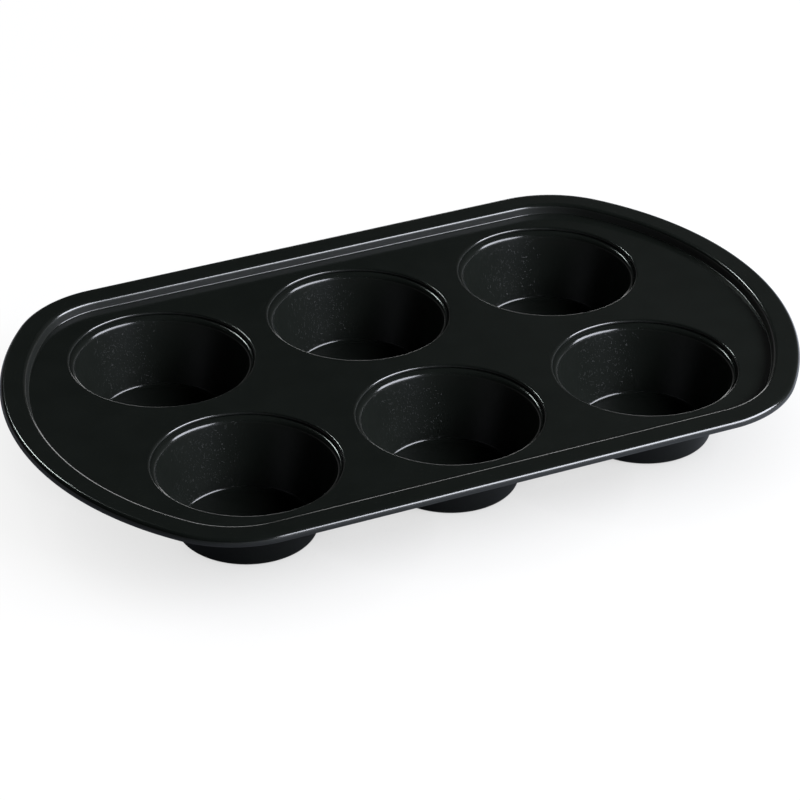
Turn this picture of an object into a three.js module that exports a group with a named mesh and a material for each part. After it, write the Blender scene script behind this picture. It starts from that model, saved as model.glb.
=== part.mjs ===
// Muffin pan: a pressed steel tray with its edge rolled over a wire, and drawn cups locked into its holes.
// Millimetres, +Z up, X along the pan. The origin lies under its middle, level with the cups' undersides.

import * as THREE from "three";
import { mergeGeometries, mergeVertices } from "three/addons/utils/BufferGeometryUtils.js";

// Sheet thicknesses, and the clearance between layers that are folded together
const traySheet = 0.4;
const cupSheet = 0.4;
const seamGap = 0.1;

// Cups: the mouth is the inside of the deck's folded edge, the depth runs from the deck to the cup's floor
const mouthRadius = 36.7;
const cupDepth = 29;
const floorRadius = 26.6;
const floorFillet = 2;
const mouthBend = 2.2;
const seamLap = 2.2;

// Layout of the deck: sheet left between neighbouring seams, and from the outer seams to the rim's wall
const webAlong = 4.9;
const webAcross = 3.9;
const endMargin = 23.85;
const sideMargin = 5.25;

// Raised rim: its plan at the foot of the wall, then its section
const cornerRadius = 35.6;
const endBowDepth = 19.6;
const rimHeight = 4.05;
const wallDraft = 11;
const footBend = 1;
const creaseBend = 0.6;
const flangeWidth = 8.4;

// Rolled edge and the wire inside it
const wireRadius = 1.2;
const wireGap = 0.35;
const rollTurn = 285;
const wireJoint = 1.5;

// Facets of the round forms
const cupSides = 24;
const wireSides = 8;
const bendSteps = 3;
const foldSteps = 4;
const hookSteps = 2;
const rollSteps = 10;
const cornerSteps = 5;
const endSteps = 12;

const rowNames = ["front", "back"];
const columnNames = ["left", "centre", "right"];

// Heights that the pieces share
const deckTop = cupSheet + cupDepth;
const deckUnderside = deckTop - traySheet;
const flangeTop = deckTop + rimHeight;

// Lock seam, seen in section: the deck turns down round the cup's lip and is pressed back flat below it
const seamPocket = cupSheet + 2 * seamGap;
const foldRadius = traySheet + seamPocket;
const foldCentre = new THREE.Vector2(mouthRadius + foldRadius, deckTop - foldRadius);
const hemCentre = new THREE.Vector2(mouthRadius + traySheet, foldCentre.y);
const tongueEdge = foldCentre.x + seamLap;
const tongueTop = foldCentre.y;
const tongueUnderside = tongueTop - traySheet;

// The cup's flange runs under that tongue, turns up round its edge and comes back above it
const hookCentre = new THREE.Vector2(tongueEdge, (tongueTop + tongueUnderside) / 2);
const hookInside = traySheet / 2 + seamGap;
const hookOutside = hookInside + cupSheet;
const lipEnd = foldCentre.x + seamGap;
const seamRadius = tongueEdge + hookOutside;

const pitchAlong = 2 * seamRadius + webAlong;
const pitchAcross = 2 * seamRadius + webAcross;
const cupPlaces = rowNames.flatMap((rowName, row) =>
  columnNames.map((columnName, column) => ({
    name: `cup_${rowName}_${columnName}`,
    x: (column - (columnNames.length - 1) / 2) * pitchAlong,
    y: (row - (rowNames.length - 1) / 2) * pitchAcross,
  })),
);

// Plan of the wall's foot: straight long sides, corner arcs and shallow bowed ends that meet them smoothly
const footHalfLength = ((columnNames.length - 1) * pitchAlong) / 2 + seamRadius + endMargin;
const footHalfWidth = ((rowNames.length - 1) * pitchAcross) / 2 + seamRadius + sideMargin;
const cornerY = footHalfWidth - cornerRadius;
const cornerX = footHalfLength - endBowDepth - cornerRadius;
const endRadius = cornerRadius + endBowDepth / 2 + cornerY ** 2 / (2 * endBowDepth);
const endX = footHalfLength - endRadius;
const joinAngle = THREE.MathUtils.radToDeg(Math.asin(cornerY / (endRadius - cornerRadius)));

// Offsets of the rim's features outwards from the wall's foot
const draft = THREE.MathUtils.degToRad(wallDraft);
const creaseOffset = rimHeight * Math.tan(draft);
const rollOffset = creaseOffset + flangeWidth;
const rollInside = wireRadius + wireGap;
const rollOutside = rollInside + traySheet;
const rollHeight = flangeTop - rollOutside;

// Points of a round bend in a section, from one angle to another in degrees, both ends included
function bend(centre, radius, from, to, steps) {
  return Array.from({ length: steps + 1 }, (_, step) => {
    const angle = THREE.MathUtils.degToRad(from + ((to - from) * step) / steps);
    return new THREE.Vector2(centre.x + radius * Math.cos(angle), centre.y + radius * Math.sin(angle));
  });
}

// Faces between closed rings of points that follow each other
function skin(rings) {
  const sides = rings[0].length;
  const faces = [];
  for (let ring = 0; ring + 1 < rings.length; ring += 1) {
    for (let side = 0; side < sides; side += 1) {
      const here = ring * sides + side;
      const beside = ring * sides + ((side + 1) % sides);
      faces.push(here, here + sides, beside + sides);
      faces.push(here, beside + sides, beside);
    }
  }
  const geometry = new THREE.BufferGeometry().setFromPoints(rings.flat());
  geometry.setIndex(faces);
  return geometry;
}

// One arc of the plan as stations, each with its own centre so that it can be offset square to the outline
function planArc(x, y, radius, from, to, steps, keepsEnd) {
  return Array.from({ length: keepsEnd ? steps + 1 : steps }, (_, step) => {
    const angle = THREE.MathUtils.degToRad(from + ((to - from) * step) / steps);
    return { x, y, radius, angle };
  });
}

// The whole plan, anticlockwise from the left end of the straight back side
const stations = [
  planArc(-cornerX, cornerY, cornerRadius, 90, 180 - joinAngle, cornerSteps, false),
  planArc(-endX, 0, endRadius, 180 - joinAngle, 180 + joinAngle, endSteps, false),
  planArc(-cornerX, -cornerY, cornerRadius, 180 + joinAngle, 270, cornerSteps, true),
  planArc(cornerX, -cornerY, cornerRadius, 270, 360 - joinAngle, cornerSteps, false),
  planArc(endX, 0, endRadius, 360 - joinAngle, 360 + joinAngle, endSteps, false),
  planArc(cornerX, cornerY, cornerRadius, 360 + joinAngle, 450, cornerSteps, true),
].flat();

function planPoint(station, offset, height) {
  const reach = station.radius + offset;
  const x = station.x + reach * Math.cos(station.angle);
  const y = station.y + reach * Math.sin(station.angle);
  return new THREE.Vector3(x, y, height);
}

function outlineRing(offset, height) {
  return stations.map((station) => planPoint(station, offset, height));
}

function holeRing(place, radius, height) {
  return Array.from({ length: cupSides }, (_, side) => {
    const angle = (2 * Math.PI * side) / cupSides;
    return new THREE.Vector3(place.x + radius * Math.cos(angle), place.y + radius * Math.sin(angle), height);
  });
}

// Rim section, from the deck's top up the wall, along the flange, round the roll and back underneath
const halfTurn = (Math.PI / 2 - draft) / 2;
const footCentre = new THREE.Vector2(-footBend * Math.tan(halfTurn), deckTop + footBend);
const creaseOutside = creaseBend + traySheet;
const creaseCentre = new THREE.Vector2(
  creaseOffset + creaseOutside * Math.tan(halfTurn),
  flangeTop - creaseOutside,
);
const rollCentre = new THREE.Vector2(rollOffset, rollHeight);
const rollEnd = 90 - rollTurn;
const rimSection = [
  bend(footCentre, footBend, -90, -wallDraft, bendSteps),
  bend(creaseCentre, creaseOutside, 180 - wallDraft, 90, bendSteps),
  bend(rollCentre, rollOutside, 90, rollEnd, rollSteps),
  bend(rollCentre, rollInside, rollEnd, 90, rollSteps),
  bend(creaseCentre, creaseBend, 90, 180 - wallDraft, bendSteps),
  bend(footCentre, footBend + traySheet, -wallDraft, -90, bendSteps),
].flat();

// Section of a hole's edge, from the deck's underside round the tongue to the deck's top
const holeSection = [
  bend(foldCentre, seamPocket, 90, 180, bendSteps),
  new THREE.Vector2(tongueEdge, tongueTop),
  new THREE.Vector2(tongueEdge, tongueUnderside),
  bend(hemCentre, traySheet, 270, 180, bendSteps),
  bend(foldCentre, foldRadius, 180, 90, foldSteps).slice(1),
].flat();

function deckFace() {
  const outline = outlineRing(footCentre.x, 0).map((point) => new THREE.Vector2(point.x, point.y));
  const shape = new THREE.Shape(outline);
  shape.holes = cupPlaces.map((place) => {
    const edge = holeRing(place, foldCentre.x, 0);
    return new THREE.Path(edge.map((point) => new THREE.Vector2(point.x, point.y)));
  });
  const face = new THREE.ShapeGeometry(shape);
  face.deleteAttribute("normal");
  face.deleteAttribute("uv");
  return face;
}

function trayGeometry() {
  const top = deckFace().translate(0, 0, deckTop);
  const underside = deckFace().translate(0, 0, deckUnderside);
  underside.setIndex(Array.from(underside.index.array).reverse());
  const rim = skin(rimSection.map((point) => outlineRing(point.x, point.y)));
  const holeEdges = cupPlaces.map((place) =>
    skin(holeSection.map((point) => holeRing(place, point.x, point.y))),
  );
  return mergeVertices(mergeGeometries([top, underside, rim, ...holeEdges]));
}

// Cup section: a constant sheet along the floor, up the tapered wall, over the mouth and round the hook
function cupGeometry() {
  const floor = cupSheet;
  const mouthOutside = mouthBend + cupSheet;
  const mouthCentre = new THREE.Vector2(mouthRadius, hookCentre.y - hookInside - mouthOutside);
  const run = mouthCentre.x - floorRadius;
  const rise = mouthCentre.y - floor;
  const taper = Math.atan2(run, rise) - Math.asin(mouthOutside / Math.hypot(run, rise));
  const wallAngle = THREE.MathUtils.radToDeg(taper);
  const filletReach = floorFillet * Math.tan(Math.PI / 4 - taper / 2);
  const filletCentre = new THREE.Vector2(floorRadius - filletReach, floor + floorFillet);
  const section = [
    new THREE.Vector2(0, 0),
    bend(filletCentre, floorFillet + cupSheet, -90, -wallAngle, bendSteps),
    bend(mouthCentre, mouthBend, 180 - wallAngle, 90, bendSteps - 1),
    bend(hookCentre, hookOutside, -90, 90, hookSteps),
    new THREE.Vector2(lipEnd, hookCentre.y + hookOutside),
    new THREE.Vector2(lipEnd, hookCentre.y + hookInside),
    bend(hookCentre, hookInside, 90, -90, hookSteps),
    bend(mouthCentre, mouthOutside, 90, 180 - wallAngle, bendSteps),
    bend(filletCentre, floorFillet, -wallAngle, -90, bendSteps),
    new THREE.Vector2(0, floor),
  ].flat();
  return new THREE.LatheGeometry(section, cupSides).rotateX(Math.PI / 2);
}

// The wire follows the roll and stops at a butt joint in the middle of the back side
function wireRing(station, radius) {
  return Array.from({ length: wireSides }, (_, side) => {
    const angle = (2 * Math.PI * side) / wireSides;
    return planPoint(station, rollOffset + radius * Math.cos(angle), rollHeight + radius * Math.sin(angle));
  });
}

function wireGeometry() {
  const first = { ...stations.at(0), x: -wireJoint / 2 };
  const last = { ...stations.at(-1), x: wireJoint / 2 };
  const rings = [first, ...stations, last].map((station) => wireRing(station, wireRadius));
  return mergeVertices(skin([wireRing(first, 0), ...rings, wireRing(last, 0)]));
}

const blackCoating = new THREE.MeshStandardMaterial({ color: "#1d1f1f", roughness: 0.4, metalness: 0.1 });
const bareSteel = new THREE.MeshStandardMaterial({ color: "#a3a6a8", roughness: 0.35, metalness: 1 });

const pan = new THREE.Group();

function addPiece(name, geometry, material) {
  geometry.computeVertexNormals();
  const piece = new THREE.Mesh(geometry, material);
  piece.name = name;
  pan.add(piece);
  return piece;
}

addPiece("tray", trayGeometry(), blackCoating);
addPiece("rim_wire", wireGeometry(), bareSteel);
for (const place of cupPlaces) {
  addPiece(place.name, cupGeometry(), blackCoating).position.set(place.x, place.y, 0);
}

export default pan;
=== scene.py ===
# %% [markdown]
# # A muffin pan in coated sheet steel
#
# The real pan is a press-shop product: one tray stamped from steel sheet, six cups drawn from discs of
# sheet, and a steel wire that stiffens the tray's rolled edge. Tray and cups carry a black non-stick coating,
# and the wire stays bare. The solid model gives the pieces, their places and their outer sizes, so this
# lesson redraws the same pieces with fine, smooth bends. Then it gives them a finish, a floor and studio
# light.

import bpy
import numpy as np
from mathutils import Matrix, Vector
from mathutils.geometry import tessellate_polygon


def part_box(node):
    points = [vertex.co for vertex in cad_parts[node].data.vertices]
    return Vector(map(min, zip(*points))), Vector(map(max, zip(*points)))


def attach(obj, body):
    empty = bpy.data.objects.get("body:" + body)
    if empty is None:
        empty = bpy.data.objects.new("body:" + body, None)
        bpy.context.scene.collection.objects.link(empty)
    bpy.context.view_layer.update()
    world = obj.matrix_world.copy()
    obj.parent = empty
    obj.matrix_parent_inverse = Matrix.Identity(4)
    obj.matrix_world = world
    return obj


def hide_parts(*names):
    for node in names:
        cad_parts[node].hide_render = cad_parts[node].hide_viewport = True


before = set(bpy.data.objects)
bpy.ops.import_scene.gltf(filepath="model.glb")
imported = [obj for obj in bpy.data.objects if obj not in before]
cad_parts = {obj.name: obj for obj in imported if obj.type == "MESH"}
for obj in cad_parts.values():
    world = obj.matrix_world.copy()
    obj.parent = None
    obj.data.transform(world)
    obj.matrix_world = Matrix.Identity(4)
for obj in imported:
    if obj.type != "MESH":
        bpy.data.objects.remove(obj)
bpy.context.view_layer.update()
print("solid nodes:", ", ".join(sorted(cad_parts)))

# %% [markdown]
# ## The camera
#
# A product photo like this is taken from a few steps away with a long lens, so the far cups look hardly
# smaller than the near ones. The camera could be aimed with a Track To constraint, but the photo is also
# tilted a little, and three plain angles say exactly where it stood: round the pan, up, and roll.

# %% Set the camera where the photographer stood
MM = 0.001
PHOTO_WIDTH_PX = 800
FOCAL_LENGTH_PX = 3738
SENSOR_WIDTH_MM = 36.0
VIEW_AZIMUTH, VIEW_ELEVATION, VIEW_ROLL = np.radians([-25.686, 31.465, 0.711])
VIEW_TARGET_MM = np.array([-13.25, -24.99, 29.0])
VIEW_DISTANCE_MM = 1461.5

towards_camera = np.array([
    np.sin(VIEW_AZIMUTH) * np.cos(VIEW_ELEVATION),
    -np.cos(VIEW_AZIMUTH) * np.cos(VIEW_ELEVATION),
    np.sin(VIEW_ELEVATION),
])
level_right = np.array([np.cos(VIEW_AZIMUTH), np.sin(VIEW_AZIMUTH), 0.0])
level_up = np.cross(towards_camera, level_right)
camera_right = np.cos(VIEW_ROLL) * level_right + np.sin(VIEW_ROLL) * level_up
camera_up = np.cos(VIEW_ROLL) * level_up - np.sin(VIEW_ROLL) * level_right
camera_place = (VIEW_TARGET_MM + VIEW_DISTANCE_MM * towards_camera) * MM

camera_data = bpy.data.cameras.new("photo_camera")
camera_data.sensor_width = SENSOR_WIDTH_MM
camera_data.lens = FOCAL_LENGTH_PX / PHOTO_WIDTH_PX * SENSOR_WIDTH_MM
camera = bpy.data.objects.new("photo_camera", camera_data)
camera_axes = np.column_stack((camera_right, camera_up, towards_camera, camera_place))
camera.matrix_world = Matrix(camera_axes.tolist() + [[0, 0, 0, 1]])
bpy.context.scene.collection.objects.link(camera)
bpy.context.scene.camera = camera
print(f"camera: {camera_data.lens:.1f} mm lens, {np.linalg.norm(camera_place):.2f} m from the pan's base")

# %% [markdown]
# ## Sizes
#
# The frame says how big each piece is and where it stands. Measuring the meshes by hand would do, but the
# boxes of the solid pieces already hold the numbers: the cups' boxes give their middles and the height of the
# deck, and the tray's box gives the flange. Only the sheet and the gaps in a seam are written down here.

# %% Read the pan's sizes from the frame, in millimetres
TRAY_SHEET, CUP_SHEET = 0.4, 0.4
SEAM_GAP = 0.1  # air between the folded layers of a seam


def box_mm(node):
    """Lowest and highest corner of a solid node, in millimetres."""
    low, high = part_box(node)
    return np.array(low) / MM, np.array(high) / MM


cup_names = sorted(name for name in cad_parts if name.startswith("cup_"))
cup_boxes = {name: box_mm(name) for name in cup_names}
cup_places = {name: (low[:2] + high[:2]) / 2 for name, (low, high) in cup_boxes.items()}
cup_low, cup_high = cup_boxes[cup_names[0]]
seam_radius = (cup_high[0] - cup_low[0]) / 2
deck_top = cup_high[2] + SEAM_GAP + TRAY_SHEET
_, tray_high = box_mm("tray")
flange_top = tray_high[2]
print(f"deck top at {deck_top:.2f} mm, flange top at {flange_top:.2f} mm")
print(f"{len(cup_names)} cups, {2 * seam_radius:.1f} mm over the seam")

# %% [markdown]
# ## The plan of the rim
#
# Seen from above, the pan has two straight long sides, four round corners and two shallow bowed ends that
# meet the corners without a kink. A press tool is milled along such a chain of arcs. The plan is drawn at the
# foot of the wall, which lies inside the tray's box by the lean of the wall, the flange and the rolled edge.

# %% Work out the plan of the wall's foot
WALL_DRAFT = 11.0  # the wall's lean, in degrees
FLANGE_WIDTH = 8.4
WIRE_RADIUS, WIRE_GAP = 1.2, 0.35
CORNER_RADIUS = 35.6
END_BOW = 19.6  # how far an end bulges past its corners

draft = np.radians(WALL_DRAFT)
crease_offset = (flange_top - deck_top) * np.tan(draft)
roll_inside = WIRE_RADIUS + WIRE_GAP
roll_outside = roll_inside + TRAY_SHEET
roll_offset = crease_offset + FLANGE_WIDTH
foot_half_length = tray_high[0] - roll_offset - roll_outside
foot_half_width = tray_high[1] - roll_offset - roll_outside
corner_x = foot_half_length - END_BOW - CORNER_RADIUS
corner_y = foot_half_width - CORNER_RADIUS
end_radius = CORNER_RADIUS + END_BOW / 2 + corner_y**2 / (2 * END_BOW)
end_x = foot_half_length - end_radius
join = np.degrees(np.arcsin(corner_y / (end_radius - CORNER_RADIUS)))
print(f"wall foot {2 * foot_half_length:.1f} by {2 * foot_half_width:.1f} mm")
print(f"corners of {CORNER_RADIUS} mm radius, ends of {end_radius:.1f} mm")

# %% [markdown]
# ## Stations along the plan
#
# A curve object could hold this outline, but its offset at a corner is hard to steer. Each station of the
# plan holds the centre, radius and direction of its own arc instead, so that any offset outwards stays
# square to the outline. The second half of the plan is the first one, turned by half a turn.

# %% Set the stations
SIDE_STEPS, CORNER_STEPS, END_STEPS = 24, 28, 56


def stretch(start, end, steps):
    """Stations (centre x, centre y, radius, angle) that go evenly from start to end, the end left out.
    A turning angle makes an arc, and a sliding centre makes a straight side."""
    share = np.arange(steps)[:, None] / steps
    return np.asarray(start, float) * (1 - share) + np.asarray(end, float) * share


def side_and_corners(turn):
    """Half the plan: a straight side, a corner, a bowed end and a corner, turned by 0 or 180 degrees."""
    sign = 1 if turn == 0 else -1
    side, out = 270 + turn, 360 + turn
    first = (-sign * corner_x, -sign * corner_y, CORNER_RADIUS)
    second = (sign * corner_x, -sign * corner_y, CORNER_RADIUS)
    third = (sign * corner_x, sign * corner_y, CORNER_RADIUS)
    bow = (sign * end_x, 0, end_radius)
    return [
        stretch((*first, side), (*second, side), SIDE_STEPS),
        stretch((*second, side), (*second, out - join), CORNER_STEPS),
        stretch((*bow, out - join), (*bow, out + join), END_STEPS),
        stretch((*third, out + join), (*third, out + 90), CORNER_STEPS),
    ]


stations = np.vstack(side_and_corners(0) + side_and_corners(180))
print(f"plan: {len(stations)} stations")

# %% [markdown]
# ## Bends and straight runs
#
# Sheet metal is straight runs joined by round bends. Here each piece is a section, which is a list of points
# across the sheet, carried round a closed path. A bevelled curve could do the same, but a section keeps the
# sheet's true thickness. A guard row, close beside each bend, keeps the flat next to it shading flat.

# %% Helpers for sections
GUARD = 0.25


def bend(centre, radius, start, end, steps):
    """A round bend: centre + radius * (cos a, sin a), where a goes evenly from start to end, in degrees."""
    angle = np.radians(np.linspace(start, end, steps + 1))
    return np.column_stack((centre[0] + radius * np.cos(angle), centre[1] + radius * np.sin(angle)))


def straight(start, end, steps=1):
    """Points along a straight run, from a guard's width after its start to one before its end."""
    start, end = np.asarray(start, float), np.asarray(end, float)
    margin = GUARD / np.linalg.norm(end - start)
    return start + np.linspace(margin, 1 - margin, steps + 1)[:, None] * (end - start)


print("a quarter bend in two steps:", bend((0, 0), 1, 0, 90, 2).round(2).tolist())

# %% [markdown]
# ## The raised rim and its rolled edge
#
# The deck turns up into a low, slightly leaning wall, turns out again into a flat flange, and its edge is
# rolled under round a wire. A Bevel modifier can't roll a sheet, so the section is drawn as the sheet runs:
# along its top from the deck to the end of the roll, and back along its underside. The tight bend at the foot
# and the rounder one at the flange each show as a bright line, and a rounder bend makes a brighter line.

# %% Bend the rim's sheet: foot, crease and roll
FOOT_BEND, CREASE_BEND = 0.6, 1.4
ROLL_TURN = 285.0  # how far the edge is rolled, in degrees
BEND_STEPS, ROLL_STEPS, FLANGE_STEPS = 10, 40, 3

half_turn = (np.pi / 2 - draft) / 2
foot_centre = (-FOOT_BEND * np.tan(half_turn), deck_top + FOOT_BEND)
crease_outside = CREASE_BEND + TRAY_SHEET
crease_centre = (crease_offset + crease_outside * np.tan(half_turn), flange_top - crease_outside)
roll_centre = (roll_offset, flange_top - roll_outside)
roll_end = 90 - ROLL_TURN

foot_upper = bend(foot_centre, FOOT_BEND, -90, -WALL_DRAFT, BEND_STEPS)
foot_lower = bend(foot_centre, FOOT_BEND + TRAY_SHEET, -WALL_DRAFT, -90, BEND_STEPS)
crease_upper = bend(crease_centre, crease_outside, 180 - WALL_DRAFT, 90, BEND_STEPS)
crease_lower = bend(crease_centre, CREASE_BEND, 90, 180 - WALL_DRAFT, BEND_STEPS)
roll_upper = bend(roll_centre, roll_outside, 90, roll_end, ROLL_STEPS)
roll_lower = bend(roll_centre, roll_inside, roll_end, 90, ROLL_STEPS)
print(f"roll: {2 * roll_outside:.1f} mm thick, turned {ROLL_TURN:.0f} degrees")

# %% [markdown]
# ## Carrying the rim round the plan
#
# The bends are strung together with straight runs, and the section goes round all stations. That makes a
# grid of points, one row for each point of the section. A swept curve would look the same, but the grid's
# first and last rows are known, and the deck can be welded to them.

# %% Carry the rim's section round the plan


def along_rim(section, path=stations):
    """A grid: each point (offset, height) of the section, carried along the plan's stations."""
    centre_x, centre_y, radius, angle = path.T
    reach = radius + section[:, :1]
    x = centre_x + reach * np.cos(np.radians(angle))
    y = centre_y + reach * np.sin(np.radians(angle))
    return np.stack((x, y, np.broadcast_to(section[:, 1:], x.shape)), axis=-1)


rim_section = np.vstack((
    foot_upper[:1] - (GUARD, 0),
    foot_upper,
    straight(foot_upper[-1], crease_upper[0]),
    crease_upper,
    straight(crease_upper[-1], roll_upper[0], FLANGE_STEPS),
    roll_upper,
    roll_lower,
    straight(roll_lower[-1], crease_lower[0], FLANGE_STEPS),
    crease_lower,
    straight(crease_lower[-1], foot_lower[0]),
    foot_lower,
    foot_lower[-1:] - (GUARD, 0),
))
rim_grid = along_rim(rim_section)
print(f"rim: {rim_section.shape[0]} points across the sheet, {rim_grid.shape[1]} stations along it")

# %% [markdown]
# ## The folded edge of each hole
#
# Every hole's edge is folded down and back under the deck, round the cup's lip. From above, that fold is
# the fine bright line that circles each mouth. A Screw modifier could turn the section about the hole's
# middle, and so does one line of numpy, which leaves a grid whose last row the deck can share.

# %% Draw the hole's section and turn it about each cup's middle
SEAM_LAP = 2.2  # from the fold's centre to the edge of the tongue
ROUND_STEPS, FOLD_STEPS = 160, 12

seam_pocket = CUP_SHEET + 2 * SEAM_GAP
fold_radius = TRAY_SHEET + seam_pocket
hook_inside = TRAY_SHEET / 2 + SEAM_GAP
hook_outside = hook_inside + CUP_SHEET
tongue_edge = seam_radius - hook_outside
tongue_top = deck_top - fold_radius
tongue_under = tongue_top - TRAY_SHEET
fold_centre = (tongue_edge - SEAM_LAP, tongue_top)
mouth_radius = fold_centre[0] - fold_radius
hem_centre = (mouth_radius + TRAY_SHEET, tongue_top)

fold_inner = bend(fold_centre, seam_pocket, 90, 180, FOLD_STEPS)
hem_outer = bend(hem_centre, TRAY_SHEET, 270, 180, FOLD_STEPS)
fold_outer = bend(fold_centre, fold_radius, 180, 90, FOLD_STEPS)
hole_section = np.vstack((
    fold_inner[:1] + (GUARD, 0),
    fold_inner,
    straight(fold_inner[-1], (tongue_edge, tongue_top)),
    (tongue_edge, tongue_top),
    (tongue_edge, tongue_under),
    straight((tongue_edge, tongue_under), hem_outer[0]),
    hem_outer,
    fold_outer[1:],
    fold_outer[-1:] + (GUARD, 0),
))


def turned(section, middle):
    """A grid: each point (radius, height) of the section, turned all the way round an upright axis."""
    angle = 2 * np.pi * np.arange(ROUND_STEPS) / ROUND_STEPS
    x = middle[0] + section[:, :1] * np.cos(angle)
    y = middle[1] + section[:, :1] * np.sin(angle)
    return np.stack((x, y, np.broadcast_to(section[:, 1:], x.shape)), axis=-1)


hole_grids = [turned(hole_section, cup_places[name]) for name in cup_names]
print(f"mouths: {2 * mouth_radius:.1f} mm across inside the fold")

# %% [markdown]
# ## The flat deck
#
# The deck is the flat sheet that is left between the rim and the holes. A plane cut by booleans would leave
# ragged edges, so the flat is filled between the very points where the bends start, on both of its faces.

# %% Fill the deck's two faces


def flat_face(outline, holes, upward):
    """The flat between an outline and holes at one height, as triangles that face up or down."""
    loops = [outline, *holes]
    fill = tessellate_polygon([[Vector(point) for point in loop] for loop in loops])
    points, triangles = np.vstack(loops), np.array(fill)
    a, b, c = (points[triangles[:, corner], :2] for corner in range(3))
    turns_left = np.cross(b - a, c - a) > 0
    wrong = turns_left != upward
    triangles[wrong] = triangles[wrong][:, ::-1]
    return points, triangles


deck_upper = flat_face(rim_grid[0], [grid[-1] for grid in hole_grids], True)
deck_lower = flat_face(rim_grid[-1], [grid[0] for grid in hole_grids], False)
print(f"deck: {len(deck_upper[1])} triangles on top, {len(deck_lower[1])} below")

# %% [markdown]
# ## One sheet from many grids
#
# Rim, deck and folded edges are one sheet on the real tray, so they become one mesh. Merge by Distance could
# join them in Blender. Here rounded coordinates find the points that coincide, all at once. Shading stays
# smooth over the bends and breaks only at the sheet's cut edges.

# %% Helpers that turn grids into a piece
WELD_STEP = 1e-4
SHARP_EDGE = np.radians(35)


def grid_part(grid):
    """A grid as a list of points and two triangles for each cell. Columns close on themselves, rows don't."""
    rows, columns, _ = grid.shape
    row, column = np.meshgrid(np.arange(rows - 1), np.arange(columns), indexing="ij")
    here = (row * columns + column).ravel()
    beside = (row * columns + (column + 1) % columns).ravel()
    first = np.column_stack((here, here + columns, beside + columns))
    second = np.column_stack((here, beside + columns, beside))
    return grid.reshape(-1, 3), np.vstack((first, second))


def weld(parts):
    """Joins (points, triangles) parts into one surface: points that coincide become one, and triangles that
    have lost a corner, as at the middle of a cup, are dropped."""
    offsets = np.cumsum([0] + [len(points) for points, _ in parts[:-1]])
    points = np.vstack([points for points, _ in parts])
    triangles = np.vstack([faces + offset for (_, faces), offset in zip(parts, offsets)])
    keys = np.round(points / WELD_STEP).astype(np.int64)
    _, kept, joined = np.unique(keys, axis=0, return_index=True, return_inverse=True)
    triangles = joined.reshape(-1)[triangles]
    a, b, c = triangles.T
    return points[kept], triangles[(a != b) & (b != c) & (c != a)]


def make_piece(name, parts, node):
    """Welds the parts into one mesh in metres, smooth but for its cut edges, in place of a solid node."""
    points, triangles = weld(parts)
    mesh = bpy.data.meshes.new(name)
    mesh.from_pydata((points * MM).tolist(), [], triangles.tolist())
    mesh.shade_smooth()
    mesh.set_sharp_from_angle(angle=SHARP_EDGE)
    piece = bpy.data.objects.new(name, mesh)
    bpy.context.scene.collection.objects.link(piece)
    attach(piece, "root")
    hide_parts(node)
    print(f"{name}: {len(points)} points, {len(triangles)} triangles")
    return piece


tray_parts = [grid_part(rim_grid), deck_upper, deck_lower, *(grid_part(grid) for grid in hole_grids)]
tray = make_piece("tray_pressed_sheet", tray_parts, "tray")

# %% [markdown]
# ## The drawn cups
#
# A cup is drawn from a disc of sheet: a flat floor, a small round at its edge, a leaning wall, and a
# rounded mouth that runs out into a flange. The wall has to touch both rounds, so its lean is worked out:
# it is the slope of the line from the floor's edge to the mouth's centre, less the angle that the mouth's
# radius takes up.

# %% Bend the cup's sheet: fillet, mouth and hook
MOUTH_BEND, FLOOR_FILLET = 2.2, 2.0
FLOOR_SHARE = 26.6 / 36.7  # the floor's radius as a share of the mouth's

cup_floor = CUP_SHEET
hook_centre = (tongue_edge, (tongue_top + tongue_under) / 2)
mouth_outside = MOUTH_BEND + CUP_SHEET
mouth_centre = (mouth_radius, hook_centre[1] - hook_inside - mouth_outside)
floor_radius = FLOOR_SHARE * mouth_radius
run, rise = mouth_centre[0] - floor_radius, mouth_centre[1] - cup_floor
taper = np.arctan2(run, rise) - np.arcsin(mouth_outside / np.hypot(run, rise))
wall_angle = np.degrees(taper)
fillet_centre = (floor_radius - FLOOR_FILLET * np.tan(np.pi / 4 - taper / 2), cup_floor + FLOOR_FILLET)

fillet_inside = bend(fillet_centre, FLOOR_FILLET, -90, -wall_angle, BEND_STEPS)
fillet_outside = bend(fillet_centre, FLOOR_FILLET + CUP_SHEET, -wall_angle, -90, BEND_STEPS)
mouth_upper = bend(mouth_centre, mouth_outside, 180 - wall_angle, 90, BEND_STEPS)
mouth_lower = bend(mouth_centre, MOUTH_BEND, 90, 180 - wall_angle, BEND_STEPS)
hook_upper = bend(hook_centre, hook_inside, -90, 90, BEND_STEPS)
hook_lower = bend(hook_centre, hook_outside, 90, -90, BEND_STEPS)
print(f"cups: walls lean {wall_angle:.1f} degrees, floors {2 * floor_radius:.1f} mm across")

# %% [markdown]
# ## The lock seam
#
# The cup's flange passes under the deck's folded edge, turns up round it and comes back inside the fold,
# which locks cup and tray together. A Solidify modifier could thicken a single surface, but not keep the gaps
# of such a seam, so the section follows the sheet: along the inside from the middle of the floor to the lip,
# and back along the outside.

# %% Turn a cup for each place
WALL_STEPS, FLOOR_STEPS = 8, 6

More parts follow.
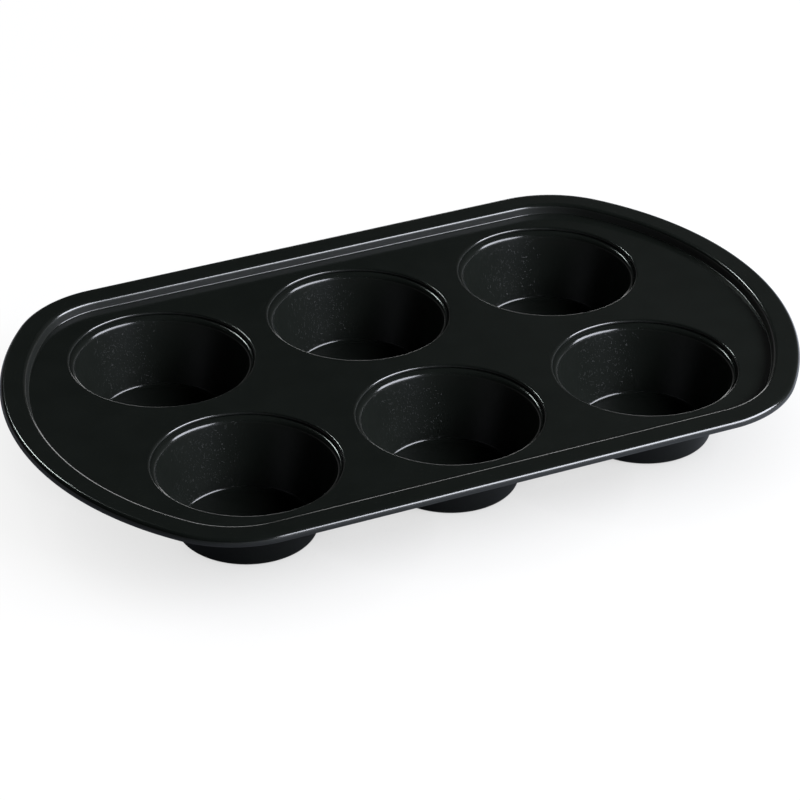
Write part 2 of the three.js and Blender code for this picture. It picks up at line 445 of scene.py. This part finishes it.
lip_end = fold_centre[0] + SEAM_GAP
lip_lower = (lip_end, hook_upper[-1][1])
lip_upper = (lip_end, hook_lower[0][1])
cup_section = np.vstack((
    (0, cup_floor),
    straight((0, cup_floor), fillet_inside[0], FLOOR_STEPS),
    fillet_inside,
    straight(fillet_inside[-1], mouth_upper[0], WALL_STEPS),
    mouth_upper,
    straight(mouth_upper[-1], hook_upper[0]),
    hook_upper,
    straight(hook_upper[-1], lip_lower),
    lip_lower,
    lip_upper,
    straight(lip_upper, hook_lower[0]),
    hook_lower,
    straight(hook_lower[-1], mouth_lower[0]),
    mouth_lower,
    straight(mouth_lower[-1], fillet_outside[0], WALL_STEPS),
    fillet_outside,
    straight(fillet_outside[-1], (0, 0), FLOOR_STEPS),
    (0, 0),
))
cups = {}
for name in cup_names:
    cup_parts = [grid_part(turned(cup_section, cup_places[name]))]
    cups[name] = make_piece(f"{name}_drawn_sheet", cup_parts, name)

# %% [markdown]
# ## The wire in the rolled edge
#
# A straight length of steel wire is bent to the plan of the pan, and its ends meet in the middle of the
# back side. Only a sliver of it can be seen, from below, where the roll stays open. A bevelled curve would
# do, but the plan's stations already give the path, so the wire is one more section along it, with closed
# ends.

# %% Sweep the wire along the roll
WIRE_JOINT = 1.5  # the gap between the wire's two ends
WIRE_STEPS = 24


def wire_ring(radius, path):
    """Rings of the wire: a circle of that radius about the roll's centre, at each station of a path."""
    circle = bend(roll_centre, radius, 0, 360 - 360 / WIRE_STEPS, WIRE_STEPS - 1)
    return along_rim(circle, path).swapaxes(0, 1)


wire_path = np.roll(stations, -(len(stations) // 2 + SIDE_STEPS // 2), axis=0)
wire_path[:, 3] = np.degrees(np.unwrap(np.radians(wire_path[:, 3])))
wire_start, wire_stop = wire_path[:1].copy(), wire_path[:1].copy()
wire_start[0, 0], wire_stop[0, 0] = -WIRE_JOINT / 2, WIRE_JOINT / 2
wire_path = np.vstack((wire_start, wire_path[1:], wire_stop))
wire_grid = np.vstack((
    wire_ring(0, wire_path[:1]),
    wire_ring(WIRE_RADIUS, wire_path),
    wire_ring(0, wire_path[-1:]),
))
wire = make_piece("rim_wire_drawn_steel", [grid_part(wire_grid)], "rim_wire")

# %% [markdown]
# ## Colours and nodes
#
# Colours are written as they look on a screen and turned into the linear values that light is added up in.
# One small function adds a node, sets it up and links it, so a material reads as a list of what it does.

# %% Helpers for materials


def linear(hex_colour):
    """An sRGB colour such as "#1d1f1e" as linear RGBA: a dark value is divided by 12.92, and any other is
    shifted, scaled and raised to the power of 2.4."""
    value = np.array([int(hex_colour[start:start + 2], 16) for start in (1, 3, 5)]) / 255
    bent = np.where(value <= 0.04045, value / 12.92, ((value + 0.055) / 1.055) ** 2.4)
    return (*bent.tolist(), 1.0)


def add_node(tree, kind, inputs=None, **settings):
    """Adds a node with its settings. Each input, by name or number, is set to a value or linked."""
    node = tree.nodes.new(kind)
    for name, value in settings.items():
        setattr(node, name, value)
    for key, value in (inputs or {}).items():
        if isinstance(value, bpy.types.NodeSocket):
            tree.links.new(value, node.inputs[key])
        else:
            node.inputs[key].default_value = value
    return node


def new_material(name):
    """An empty material, with its node tree."""
    material = bpy.data.materials.new(name)
    material.use_nodes = True
    material.node_tree.nodes.clear()
    return material, material.node_tree


print(f"screen grey #808080 is {linear('#808080')[0]:.3f} in linear light")

# %% [markdown]
# ## The film of the coating
#
# The coating is a resin, sprayed on and baked: a dark, slightly green black with a satin gloss. A sprayed
# film is never quite even. Its colour drifts over a centimetre or two, and its surface has the fine
# swells that painters call orange peel. Image textures could show both, but noise that is scaled in
# millimetres needs no files.

# %% A function for the film's colour and orange peel
MOTTLE_MM, MOTTLE_DETAIL = 14, 3.0
GRAIN_MM, GRAIN_DETAIL = 0.9, 2.0
FILM_DARK, FILM_LIGHT = "#151815", "#181b18"
MOTTLE_LOW, MOTTLE_HIGH = 0.3, 0.7
PEEL_MM, PEEL_STRENGTH = 0.02, 0.25


def sprayed_film(tree, place):
    """The film's colour, a mix of two blacks by a wide noise, and its normal, raised by a fine noise."""
    mottle = add_node(tree, "ShaderNodeTexNoise", {
        "Vector": place, "Scale": 1 / (MOTTLE_MM * MM), "Detail": MOTTLE_DETAIL,
    })
    tint = add_node(tree, "ShaderNodeValToRGB", {"Fac": mottle.outputs["Fac"]})
    low, high = tint.color_ramp.elements
    low.color, low.position = linear(FILM_DARK), MOTTLE_LOW
    high.color, high.position = linear(FILM_LIGHT), MOTTLE_HIGH

    grain = add_node(tree, "ShaderNodeTexNoise", {
        "Vector": place, "Scale": 1 / (GRAIN_MM * MM), "Detail": GRAIN_DETAIL,
    })
    peel = add_node(tree, "ShaderNodeBump", {
        "Height": grain.outputs["Fac"], "Strength": PEEL_STRENGTH, "Distance": PEEL_MM * MM,
    })
    return tint.outputs["Color"], peel.outputs["Normal"]


print(f"film: colour drifts over {MOTTLE_MM} mm, orange peel of {GRAIN_MM} mm")

# %% [markdown]
# ## The flakes in the film
#
# Flakes of filler lie tilted in the film and glint near a highlight. They could be thousands of tiny
# meshes, but cells of a Voronoi texture do: each cell's random colour is read as a direction, and its flake
# leans that way out of the surface. Real flakes are finer; these are as coarse as they need to show.

# %% A function for the flakes
FLAKE_MM = 0.26
FLAKE_TILT = 0.4
FLAKE_SHARE = 0.3
MIDDLE_COLOUR = (0.5, 0.5, 0.5)


def filler_flakes(tree, place, upright):
    """For each cell, the surface's normal plus a tilt of fixed length in a random direction, made a unit
    long, and a 1 for the share of cells that hold a flake or a 0 for the rest."""
    cells = add_node(tree, "ShaderNodeTexVoronoi", {"Vector": place, "Scale": 1 / (FLAKE_MM * MM)}).outputs
    lean = add_node(
        tree, "ShaderNodeVectorMath", {0: cells["Color"], 1: MIDDLE_COLOUR}, operation="SUBTRACT"
    )
    lean_way = add_node(tree, "ShaderNodeVectorMath", {0: lean.outputs[0]}, operation="NORMALIZE")
    leaning = add_node(tree, "ShaderNodeVectorMath", {
        0: lean_way.outputs[0], 1: (FLAKE_TILT,) * 3, 2: upright,
    }, operation="MULTIPLY_ADD")
    flake_normal = add_node(tree, "ShaderNodeVectorMath", {0: leaning.outputs[0]}, operation="NORMALIZE")

    pick = add_node(tree, "ShaderNodeTexWhiteNoise", {"Vector": cells["Position"]})
    picked = add_node(
        tree, "ShaderNodeMath", {0: pick.outputs["Value"], 1: FLAKE_SHARE}, operation="LESS_THAN"
    )
    return flake_normal.outputs[0], picked.outputs[0]


print(f"flakes: {FLAKE_MM} mm wide, in {FLAKE_SHARE:.0%} of the cells")

# %% [markdown]
# ## The black non-stick coating
#
# On flat faces the spray runs smooth, and on steep ones it lands drier: rougher, with a weaker mirror and
# more flakes at the surface. Painting a mask by hand could say where, but the upward part of the surface's
# normal tells a wall from a flat by itself. The flakes sit in a thin clear coat over the film.

# %% A function for the baked coating: satin black on flats, duller on steep faces, with glints
DRY_SLOPE, GLOSS_SLOPE = 0.32, 0.62
GLOSS_ROUGHNESS = 0.15
DRY_MIRROR, GLOSS_MIRROR = 0.28, 0.5
DRY_FLAKES, GLOSS_FLAKES = 0.1, 0.004
FLAKE_ROUGHNESS = 0.1


def nonstick_coating(name, ior, dry_roughness):
    """A coating whose roughness, mirror and flakes go from their dry to their glossy values as the upward
    part of the normal goes from the dry slope to the glossy one."""
    material, tree = new_material(name)
    place = add_node(tree, "ShaderNodeTexCoord").outputs["Object"]
    upright = add_node(tree, "ShaderNodeNewGeometry").outputs["Normal"]
    film_colour, film_normal = sprayed_film(tree, place)
    flake_normal, picked = filler_flakes(tree, place, upright)

    slope = add_node(tree, "ShaderNodeSeparateXYZ", {0: upright}).outputs["Z"]
    by_slope = {"Value": slope, "From Min": DRY_SLOPE, "From Max": GLOSS_SLOPE}
    roughness = add_node(tree, "ShaderNodeMapRange", {
        **by_slope, "To Min": dry_roughness, "To Max": GLOSS_ROUGHNESS,
    }, interpolation_type="SMOOTHSTEP")
    mirror = add_node(tree, "ShaderNodeMapRange", {
        **by_slope, "To Min": DRY_MIRROR, "To Max": GLOSS_MIRROR,
    })
    amount = add_node(tree, "ShaderNodeMapRange", {
        **by_slope, "To Min": DRY_FLAKES, "To Max": GLOSS_FLAKES,
    })
    flake_weight = add_node(
        tree, "ShaderNodeMath", {0: amount.outputs["Result"], 1: picked}, operation="MULTIPLY"
    )
    coat = add_node(tree, "ShaderNodeBsdfPrincipled", {
        "Base Color": film_colour,
        "Normal": film_normal,
        "Roughness": roughness.outputs["Result"],
        "IOR": ior,
        "Specular IOR Level": mirror.outputs["Result"],
        "Coat Weight": flake_weight.outputs[0],
        "Coat Roughness": FLAKE_ROUGHNESS,
        "Coat Normal": flake_normal,
    })
    add_node(tree, "ShaderNodeOutputMaterial", {"Surface": coat.outputs["BSDF"]})
    return material


print(f"coating: roughness {GLOSS_ROUGHNESS} where the normal's upward part is over {GLOSS_SLOPE}")

# %% [markdown]
# ## Coating the tray and the cups
#
# One material for all sheet would be simplest, but the two kinds of sheet differ. The tray's version has a
# high index of refraction, which gives its bends bright, narrow lines, and a wall so rough that it shows a
# soft grey band. The cups' version mirrors less, and its steep walls keep a little gloss.

# %% Baked non-stick coating: bright bends and a dull wall on the tray, satin walls in the cups
TRAY_IOR, TRAY_WALL_ROUGHNESS = 1.7, 0.5
CUP_IOR, CUP_WALL_ROUGHNESS = 1.5, 0.3

tray.data.materials.append(nonstick_coating("baked_nonstick_on_tray", TRAY_IOR, TRAY_WALL_ROUGHNESS))
cup_coating = nonstick_coating("baked_nonstick_in_cups", CUP_IOR, CUP_WALL_ROUGHNESS)
for cup in cups.values():
    cup.data.materials.append(cup_coating)
print("coating on the tray and", len(cups), "cups")

# %% [markdown]
# ## The bare wire
#
# Drawn wire is steel that was pulled through a die. It hides in the roll, so the fine lines that the die
# leaves are left out, and a plain bright steel with a little uneven gloss is all that it needs.

# %% Drawn steel wire: bare metal, slightly uneven gloss
BARE_STEEL = "#a3a6a8"
DRAW_MM, DRAW_DETAIL = 0.4, 2.0
WIRE_SMOOTH, WIRE_ROUGH = 0.28, 0.45

steel, tree = new_material("drawn_steel_wire")
wire_place = add_node(tree, "ShaderNodeTexCoord").outputs["Object"]
drawing = add_node(tree, "ShaderNodeTexNoise", {
    "Vector": wire_place, "Scale": 1 / (DRAW_MM * MM), "Detail": DRAW_DETAIL,
})
gloss = add_node(tree, "ShaderNodeMapRange", {
    "Value": drawing.outputs["Fac"], "To Min": WIRE_SMOOTH, "To Max": WIRE_ROUGH,
})
metal = add_node(tree, "ShaderNodeBsdfPrincipled", {
    "Base Color": linear(BARE_STEEL),
    "Metallic": 1.0,
    "Roughness": gloss.outputs["Result"],
})
add_node(tree, "ShaderNodeOutputMaterial", {"Surface": metal.outputs["BSDF"]})
wire.data.materials.append(steel)
print("steel on the wire, roughness from", WIRE_SMOOTH, "to", WIRE_ROUGH)

# %% [markdown]
# ## The floor
#
# The photo shows the pan on plain white, as on a table covered with paper. A single square does, so wide
# that its edges stay far away. It lies a hair under the cups, not in one plane with their undersides.

# %% Lay the floor
FLOOR_HALF, FLOOR_DROP_MM = 8.0, 0.05

square = np.array([(-1, -1, 0), (1, -1, 0), (1, 1, 0), (-1, 1, 0)])
floor_corners = square * FLOOR_HALF - (0, 0, FLOOR_DROP_MM * MM)
floor_mesh = bpy.data.meshes.new("studio_floor")
floor_mesh.from_pydata(floor_corners.tolist(), [], [(0, 1, 2, 3)])
floor = bpy.data.objects.new("studio_floor", floor_mesh)
bpy.context.scene.collection.objects.link(floor)
print(f"floor: {2 * FLOOR_HALF:.0f} m wide")

# %% [markdown]
# ## White paper
#
# The paper is matt and takes the lamps' shadow, and it also glows white for rays from the camera. More light
# could make it white, but that would bleach the pan. Reflections see the glow too, slightly blue, with a
# painted pool of light in it: white towards the lamp at the front right and dimmer away from it. The glow
# also fades in a painted shadow where the pan stands over the paper, because light doesn't reach there:
# Ambient
# Occlusion measures that, so the cups mirror a dark floor.
# From below the paper is clear, so that the pan's underside can be looked at.

# %% White studio paper: plain white to the camera, with a faint painted shadow under the pan
PAPER_WHITE, PAPER_MIRRORED, PAPER_MATT = "#ffffff", "#e4ecff", "#5a5a5a"
CAMERA_GLOW = 0.93
LAMP_SIDE = (0.75, -0.66, 0.0)
DIM_FROM, WHITE_FROM = -0.05, 0.15
DIM_GLOW, WHITE_GLOW = 0.25, 1.0
SHADE_REACH_MM = 45
CAMERA_SHADE, EXTRA_MIRROR_SHADE = 0.18, 1.2

paper, tree = new_material("white_studio_paper")
ray = add_node(tree, "ShaderNodeLightPath").outputs
mirrored = add_node(
    tree, "ShaderNodeMath", {0: ray["Is Glossy Ray"], 1: ray["Is Transmission Ray"]}, operation="MAXIMUM"
).outputs[0]
to_camera = add_node(
    tree, "ShaderNodeMath", {0: ray["Is Camera Ray"], 1: CAMERA_GLOW}, operation="MULTIPLY"
)
floor_place = add_node(tree, "ShaderNodeTexCoord").outputs["Object"]
# Painted light: the glow that reflections see grows brighter towards the key lamp's side of the floor.
nearness = add_node(tree, "ShaderNodeVectorMath", {0: floor_place, 1: LAMP_SIDE}, operation="DOT_PRODUCT")
reflected = add_node(tree, "ShaderNodeMapRange", {
    "Value": nearness.outputs["Value"],
    "From Min": DIM_FROM, "From Max": WHITE_FROM, "To Min": DIM_GLOW, "To Max": WHITE_GLOW,
})
open_glow = add_node(tree, "ShaderNodeMath", {
    0: mirrored, 1: reflected.outputs["Result"], 2: to_camera.outputs[0],
}, operation="MULTIPLY_ADD")
# Painted shadow: ambient occlusion darkens the glow under and around the pan, more so in reflections.
open_share = add_node(tree, "ShaderNodeAmbientOcclusion", {"Distance": SHADE_REACH_MM * MM})
shade = add_node(
    tree, "ShaderNodeMath", {0: mirrored, 1: EXTRA_MIRROR_SHADE, 2: CAMERA_SHADE}, operation="MULTIPLY_ADD"
)
lit = add_node(tree, "ShaderNodeMath", {0: open_share.outputs["AO"], 1: shade.outputs[0]}, operation="POWER")
strength = add_node(
    tree, "ShaderNodeMath", {0: open_glow.outputs[0], 1: lit.outputs[0]}, operation="MULTIPLY"
)
tone = add_node(tree, "ShaderNodeMix", {
    "Factor": mirrored, 6: linear(PAPER_WHITE), 7: linear(PAPER_MIRRORED),
}, data_type="RGBA")
glow = add_node(tree, "ShaderNodeEmission", {"Color": tone.outputs[2], "Strength": strength.outputs[0]})
matt = add_node(tree, "ShaderNodeBsdfDiffuse", {"Color": linear(PAPER_MATT)})
both = add_node(tree, "ShaderNodeAddShader", {0: glow.outputs[0], 1: matt.outputs[0]})
from_below = add_node(tree, "ShaderNodeNewGeometry").outputs["Backfacing"]
clear = add_node(tree, "ShaderNodeBsdfTransparent")
one_way = add_node(tree, "ShaderNodeMixShader", {0: from_below, 1: both.outputs[0], 2: clear.outputs[0]})
add_node(tree, "ShaderNodeOutputMaterial", {"Surface": one_way.outputs[0]})
floor_mesh.materials.append(paper)
print(f"paper: glows at {CAMERA_GLOW} for the camera, shaded within {SHADE_REACH_MM} mm of the pan")

# %% [markdown]
# ## The room
#
# A black pan shows whatever stands round it. The room is dim, lighter near the horizon, and a little lighter
# to the right, where the deck and the flange mirror it. An image of a studio could do this, but a ramp over
# the height of the view direction needs no file.

# %% Fill the room with dim light
ROOM_LOW, ROOM_HIGH = "#7c7c7c", "#0c0d0e"
HORIZON_HEIGHT, DARK_HEIGHT = 0.12, 0.3
SIDE_FROM, SIDE_TO, SIDE_GLOW = 0.365, 0.45, 0.03

world = bpy.data.worlds.new("studio_room")
bpy.context.scene.world = world
world.use_nodes = True
tree = world.node_tree
tree.nodes.clear()
direction = add_node(tree, "ShaderNodeTexCoord").outputs["Generated"]
way = add_node(tree, "ShaderNodeSeparateXYZ", {0: direction}).outputs
room = add_node(tree, "ShaderNodeValToRGB", {"Fac": way["Z"]})
horizon, overhead = room.color_ramp.elements
horizon.color, horizon.position = linear(ROOM_LOW), HORIZON_HEIGHT
overhead.color, overhead.position = linear(ROOM_HIGH), DARK_HEIGHT
side = add_node(tree, "ShaderNodeMapRange", {
    "Value": way["X"], "From Min": SIDE_FROM, "From Max": SIDE_TO, "To Min": 0.0, "To Max": SIDE_GLOW,
})
lifted = add_node(
    tree, "ShaderNodeVectorMath", {0: room.outputs["Color"], 1: side.outputs["Result"]}, operation="ADD"
)
sky = add_node(tree, "ShaderNodeBackground", {"Color": lifted.outputs[0]})
add_node(tree, "ShaderNodeOutputWorld", {"Surface": sky.outputs[0]})
print("room:", ROOM_LOW, "at the horizon,", ROOM_HIGH, "overhead")

# %% [markdown]
# ## The studio light
#
# A satin black pan shows the lamps as thin bright lines on its bends. One wide softbox at the front right
# does nearly all the work: it lights the left walls of the cups, leaves the right walls black and draws the
# white line along the rolled edge. A dim card low at the front lightens the lower half of that edge. A card
# low behind the pan draws the near edges of the mouths, and a strip light above it draws the paired lines at
# the right of each mouth. Point lamps would leave dots on the bends, so all of them are flat panels.

# %% Hang the lamps
LAMP_DISTANCE = 2.0


def hang_lamp(name, towards, width, tall, radiance, colour):
    """A flat panel that faces the pan. Its power is its radiance times pi times its area."""
    panel = bpy.data.lights.new(name, "AREA")
    panel.shape = "RECTANGLE"
    panel.size, panel.size_y = width, tall
    panel.energy = radiance * np.pi * width * tall
    panel.color = linear(colour)[:3]
    lamp = bpy.data.objects.new(name, panel)
    aim = Vector(towards).normalized()
    turn = aim.to_track_quat("Z", "Y").to_matrix().to_4x4()
    lamp.matrix_world = Matrix.Translation(aim * LAMP_DISTANCE) @ turn
    bpy.context.scene.collection.objects.link(lamp)
    print(f"{name}: {width} by {tall} m, {panel.energy:.1f} W")


hang_lamp("key_softbox", (0.6275, -0.5265, 0.574), width=1.9, tall=0.85, radiance=13.5, colour="#f2f5ff")
hang_lamp("front_card", (0.414, -0.888, 0.2), width=1.07, tall=0.8, radiance=0.65, colour="#dfe7ff")
hang_lamp("back_strip", (-0.027, 0.766, 0.643), width=0.14, tall=0.32, radiance=28.0, colour="#f3fffb")
hang_lamp("backdrop_card", (0.45, 0.885, 0.122), width=0.6, tall=0.34, radiance=2.6, colour="#ffffff")
bpy.context.scene.view_settings.view_transform = "Standard"
